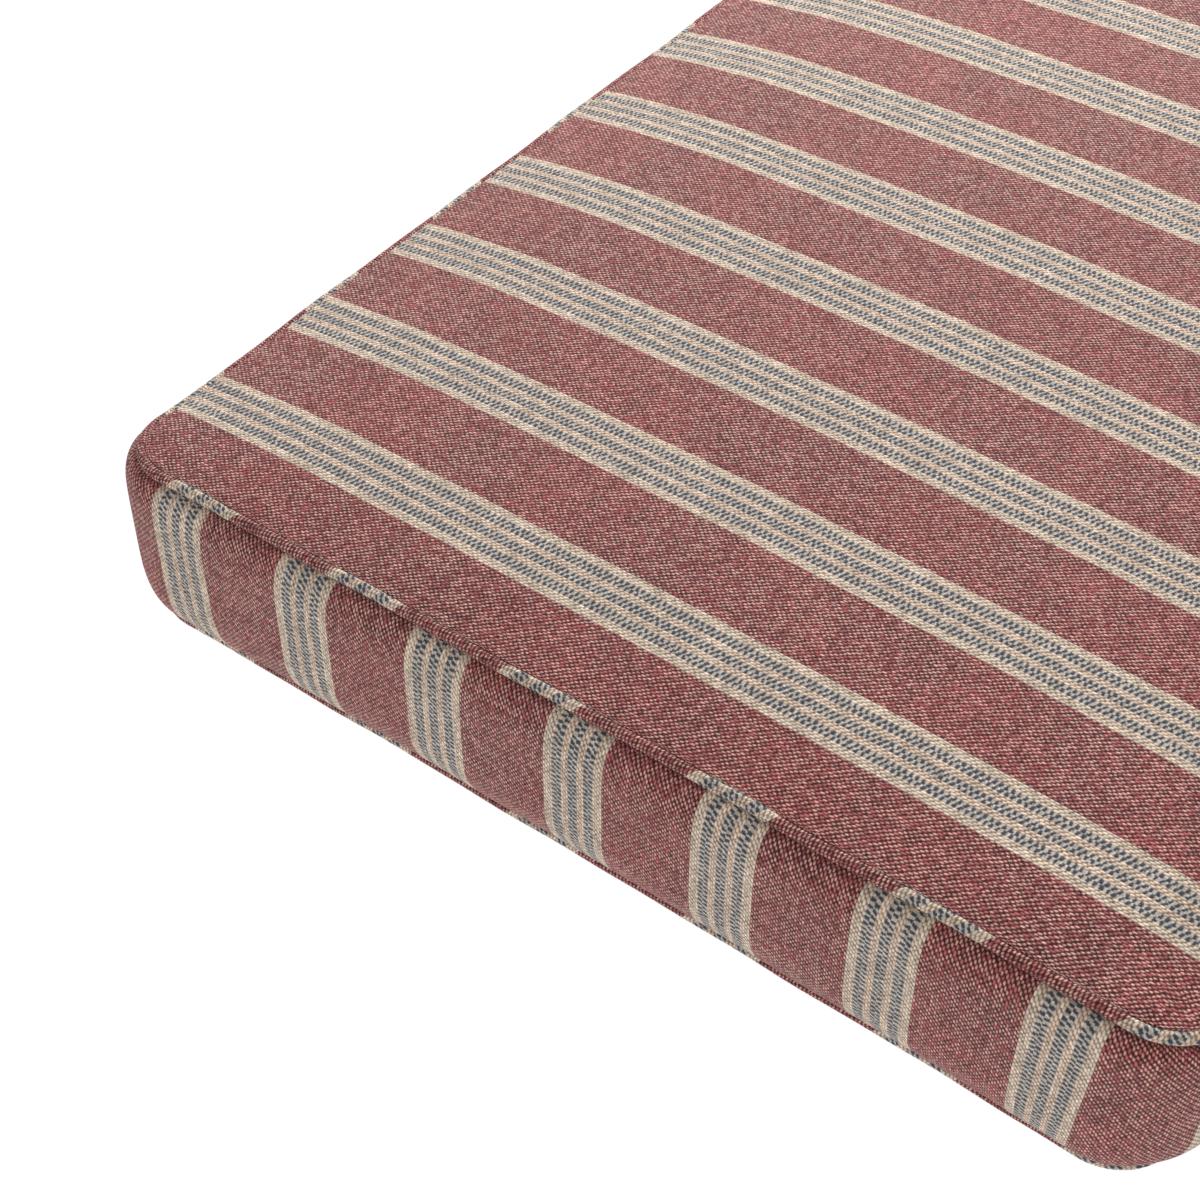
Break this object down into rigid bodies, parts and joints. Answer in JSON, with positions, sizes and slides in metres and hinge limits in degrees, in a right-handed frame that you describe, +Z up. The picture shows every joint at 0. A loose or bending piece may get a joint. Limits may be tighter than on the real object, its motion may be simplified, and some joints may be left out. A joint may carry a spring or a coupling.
{
  "type": "bench cushion",
  "caption": "Long box-edged bench cushion in a striped woven cover: crowned top panel, bulging boxing band, rounded corners and piping in the top and bottom seams.",
  "frame": {"origin": "middle of the flat face that the cushion rests on", "axes": "+X along the cushion's length, +Y across its width, +Z up through its thickness"},
  "size_m": [1.2252, 0.4108, 0.0892],
  "materials": {
    "cover": "matte woven upholstery cloth, dusty red with banded cream and blue stripes",
    "piping": "the same cloth cut on the bias round a cord"
  },
  "bodies": {
    "root": {"cushion": "cover", "piping_top": "piping", "piping_bottom": "piping"}
  },
  "joints": []
}
